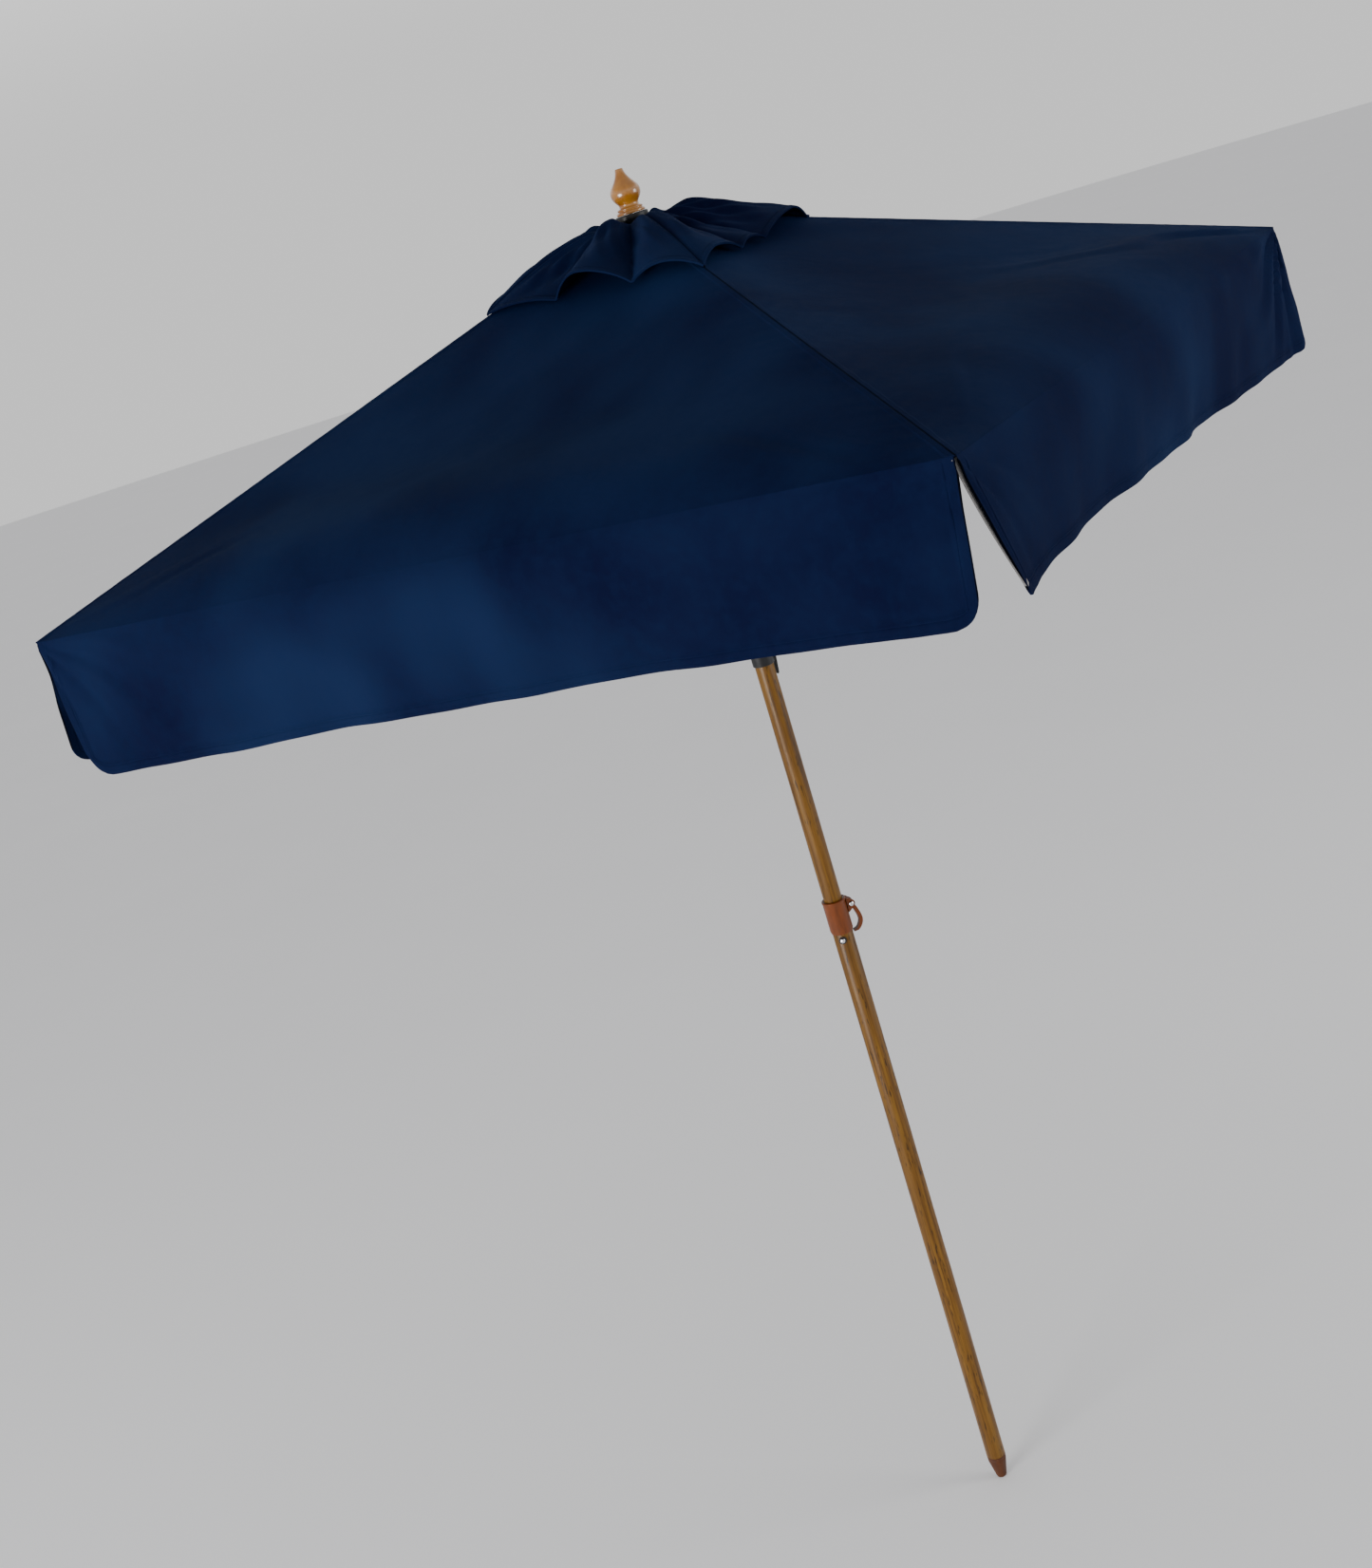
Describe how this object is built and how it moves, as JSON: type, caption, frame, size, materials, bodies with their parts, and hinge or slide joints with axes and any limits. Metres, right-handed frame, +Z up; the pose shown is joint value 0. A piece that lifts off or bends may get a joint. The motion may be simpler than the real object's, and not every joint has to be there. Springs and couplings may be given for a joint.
{
  "type": "beach umbrella",
  "caption": "Square beach umbrella with a vented cloth canopy and hanging valance on a telescoping pole with a cam-lever clamp, folding ribs and a turned finial.",
  "frame": {"origin": "centre of the blunt end of the ground tip, at the foot of the pole", "axes": "+Z up the pole to the finial; ribs point along -Y (front), +X, +Y and -X; the clamp lever and the runner's latch are on +X"},
  "size_m": [1.894, 1.894, 2.2107],
  "materials": {
    "wood_grain_tube": "satin printed wood grain on thin steel tube",
    "red_brown_plastic": "semi-gloss moulded",
    "dark_brown_plastic": "satin moulded",
    "black_plastic": "satin moulded",
    "turned_wood": "gloss lacquer over honey-coloured wood",
    "rib_wood": "oiled hardwood",
    "bright_steel": "polished",
    "navy_cloth": "plain-weave outdoor cloth, hemmed",
    "grey_webbing": "woven tape"
  },
  "bodies": {
    "lower_pole": {"lower_tube": "wood_grain_tube", "ground_tip": "dark_brown_plastic", "clamp_collar": "red_brown_plastic", "lever_pin": "bright_steel", "pole_rivet": "bright_steel", "rivet_washer": "black_plastic"},
    "clamp_lever": {"clamp_lever": "red_brown_plastic"},
    "upper_pole": {"upper_tube": "wood_grain_tube", "upper_end_plug": "black_plastic", "crown": "black_plastic", "crown_ring": "bright_steel", "tube_top_plug": "black_plastic", "finial_stud": "bright_steel", "canopy_disc": "black_plastic", "finial": "turned_wood", "finial_plug": "black_plastic"},
    "runner": {"runner_body": "black_plastic", "latch_pin": "bright_steel"},
    "runner_latch": {"runner_latch": "black_plastic"},
    "rib_front": {"rib_bar_front": "rib_wood", "rib_eye_front": "black_plastic", "rib_bracket_front": "black_plastic", "rib_tip_front": "black_plastic", "strut_pin_front": "bright_steel", "canopy_front": "navy_cloth", "vent_front": "navy_cloth", "closing_strap": "grey_webbing"},
    "strut_front": {"strut_front": "rib_wood"},
    "valance_front_right": {"valance_front_right": "navy_cloth"},
    "valance_front_left": {"valance_front_left": "navy_cloth"},
    "rib_right": {"rib_bar_right": "rib_wood", "rib_eye_right": "black_plastic", "rib_bracket_right": "black_plastic", "rib_tip_right": "black_plastic", "strut_pin_right": "bright_steel", "canopy_right": "navy_cloth", "vent_right": "navy_cloth"},
    "strut_right": {"strut_right": "rib_wood"},
    "valance_right_back": {"valance_right_back": "navy_cloth"},
    "valance_right_front": {"valance_right_front": "navy_cloth"},
    "rib_back": {"rib_bar_back": "rib_wood", "rib_eye_back": "black_plastic", "rib_bracket_back": "black_plastic", "rib_tip_back": "black_plastic", "strut_pin_back": "bright_steel", "canopy_back": "navy_cloth", "vent_back": "navy_cloth"},
    "strut_back": {"strut_back": "rib_wood"},
    "valance_back_left": {"valance_back_left": "navy_cloth"},
    "valance_back_right": {"valance_back_right": "navy_cloth"},
    "rib_left": {"rib_bar_left": "rib_wood", "rib_eye_left": "black_plastic", "rib_bracket_left": "black_plastic", "rib_tip_left": "black_plastic", "strut_pin_left": "bright_steel", "canopy_left": "navy_cloth", "vent_left": "navy_cloth"},
    "strut_left": {"strut_left": "rib_wood"},
    "valance_left_front": {"valance_left_front": "navy_cloth"},
    "valance_left_back": {"valance_left_back": "navy_cloth"}
  },
  "joints": [
    {"name": "pole_telescope", "type": "slide", "parent": "lower_pole", "child": "upper_pole", "axis": [0, 0, 1], "range_m": [-0.05, 0.2]},
    {"name": "clamp_lever_hinge", "type": "hinge", "parent": "lower_pole", "child": "clamp_lever", "pos_m": [0.0236, 0, 1.0855], "axis": [0, -1, 0], "range_deg": [0, 100]},
    {"name": "runner_slide", "type": "slide", "parent": "upper_pole", "child": "runner", "axis": [0, 0, -1], "range_m": [0, 0.2968], "deforming": ["canopy_front", "vent_front", "valance_front_right", "valance_front_left", "canopy_right", "vent_right", "valance_right_back", "valance_right_front", "canopy_back", "vent_back", "valance_back_left", "valance_back_right", "canopy_left", "vent_left", "valance_left_front", "valance_left_back", "closing_strap"]},
    {"name": "runner_latch_hinge", "type": "hinge", "parent": "runner", "child": "runner_latch", "pos_m": [0.0209, 0, 1.512], "axis": [0, -1, 0], "range_deg": [0, 8], "stiffness_Nm_per_rad": 0.3, "springref_deg": -5.73},
    {"name": "rib_hinge_front", "type": "hinge", "parent": "upper_pole", "child": "rib_front", "pos_m": [0, -0.032, 2.112], "axis": [1, 0, 0], "range_deg": [-0.1, 71.3]},
    {"name": "strut_hinge_front", "type": "hinge", "parent": "rib_front", "child": "strut_front", "pos_m": [0, -0.31843, 2.02278], "axis": [-1, 0, 0], "range_deg": [-0.1, 103.93]},
    {"name": "eave_hinge_front_right", "type": "hinge", "parent": "rib_front", "child": "valance_front_right", "pos_m": [0, -0.947, 1.855], "axis": [-0.7071, -0.7071, 0], "range_deg": [-0.1, 66.32]},
    {"name": "eave_hinge_front_left", "type": "hinge", "parent": "rib_front", "child": "valance_front_left", "pos_m": [0, -0.947, 1.855], "axis": [-0.7071, 0.7071, 0], "range_deg": [-0.1, 66.32]},
    {"name": "rib_hinge_right", "type": "hinge", "parent": "upper_pole", "child": "rib_right", "pos_m": [0.032, 0, 2.112], "axis": [0, 1, 0], "range_deg": [-0.1, 71.3]},
    {"name": "strut_hinge_right", "type": "hinge", "parent": "rib_right", "child": "strut_right", "pos_m": [0.31843, 0, 2.02278], "axis": [0, -1, 0], "range_deg": [-0.1, 103.93]},
    {"name": "eave_hinge_right_back", "type": "hinge", "parent": "rib_right", "child": "valance_right_back", "pos_m": [0.947, 0, 1.855], "axis": [0.7071, -0.7071, 0], "range_deg": [-0.1, 66.32]},
    {"name": "eave_hinge_right_front", "type": "hinge", "parent": "rib_right", "child": "valance_right_front", "pos_m": [0.947, 0, 1.855], "axis": [-0.7071, -0.7071, 0], "range_deg": [-0.1, 66.32]},
    {"name": "rib_hinge_back", "type": "hinge", "parent": "upper_pole", "child": "rib_back", "pos_m": [0, 0.032, 2.112], "axis": [-1, 0, 0], "range_deg": [-0.1, 71.3]},
    {"name": "strut_hinge_back", "type": "hinge", "parent": "rib_back", "child": "strut_back", "pos_m": [0, 0.31843, 2.02278], "axis": [1, 0, 0], "range_deg": [-0.1, 103.93]},
    {"name": "eave_hinge_back_left", "type": "hinge", "parent": "rib_back", "child": "valance_back_left", "pos_m": [0, 0.947, 1.855], "axis": [0.7071, 0.7071, 0], "range_deg": [-0.1, 66.32]},
    {"name": "eave_hinge_back_right", "type": "hinge", "parent": "rib_back", "child": "valance_back_right", "pos_m": [0, 0.947, 1.855], "axis": [0.7071, -0.7071, 0], "range_deg": [-0.1, 66.32]},
    {"name": "rib_hinge_left", "type": "hinge", "parent": "upper_pole", "child": "rib_left", "pos_m": [-0.032, 0, 2.112], "axis": [0, -1, 0], "range_deg": [-0.1, 71.3]},
    {"name": "strut_hinge_left", "type": "hinge", "parent": "rib_left", "child": "strut_left", "pos_m": [-0.31843, 0, 2.02278], "axis": [0, 1, 0], "range_deg": [-0.1, 103.93]},
    {"name": "eave_hinge_left_front", "type": "hinge", "parent": "rib_left", "child": "valance_left_front", "pos_m": [-0.947, 0, 1.855], "axis": [-0.7071, 0.7071, 0], "range_deg": [-0.1, 66.32]},
    {"name": "eave_hinge_left_back", "type": "hinge", "parent": "rib_left", "child": "valance_left_back", "pos_m": [-0.947, 0, 1.855], "axis": [0.7071, 0.7071, 0], "range_deg": [-0.1, 66.32]}
  ],
  "couplings": [
    {"joint": "rib_hinge_front", "follows": "runner_slide", "rad_per_m": 4.1868},
    {"joint": "strut_hinge_front", "follows": "runner_slide", "rad_per_m": 6.1056},
    {"joint": "eave_hinge_front_right", "follows": "runner_slide", "rad_per_m": 3.8943},
    {"joint": "eave_hinge_front_left", "follows": "runner_slide", "rad_per_m": 3.8943},
    {"joint": "rib_hinge_right", "follows": "runner_slide", "rad_per_m": 4.1868},
    {"joint": "strut_hinge_right", "follows": "runner_slide", "rad_per_m": 6.1056},
    {"joint": "eave_hinge_right_back", "follows": "runner_slide", "rad_per_m": 3.8943},
    {"joint": "eave_hinge_right_front", "follows": "runner_slide", "rad_per_m": 3.8943},
    {"joint": "rib_hinge_back", "follows": "runner_slide", "rad_per_m": 4.1868},
    {"joint": "strut_hinge_back", "follows": "runner_slide", "rad_per_m": 6.1056},
    {"joint": "eave_hinge_back_left", "follows": "runner_slide", "rad_per_m": 3.8943},
    {"joint": "eave_hinge_back_right", "follows": "runner_slide", "rad_per_m": 3.8943},
    {"joint": "rib_hinge_left", "follows": "runner_slide", "rad_per_m": 4.1868},
    {"joint": "strut_hinge_left", "follows": "runner_slide", "rad_per_m": 6.1056},
    {"joint": "eave_hinge_left_front", "follows": "runner_slide", "rad_per_m": 3.8943},
    {"joint": "eave_hinge_left_back", "follows": "runner_slide", "rad_per_m": 3.8943}
  ]
}
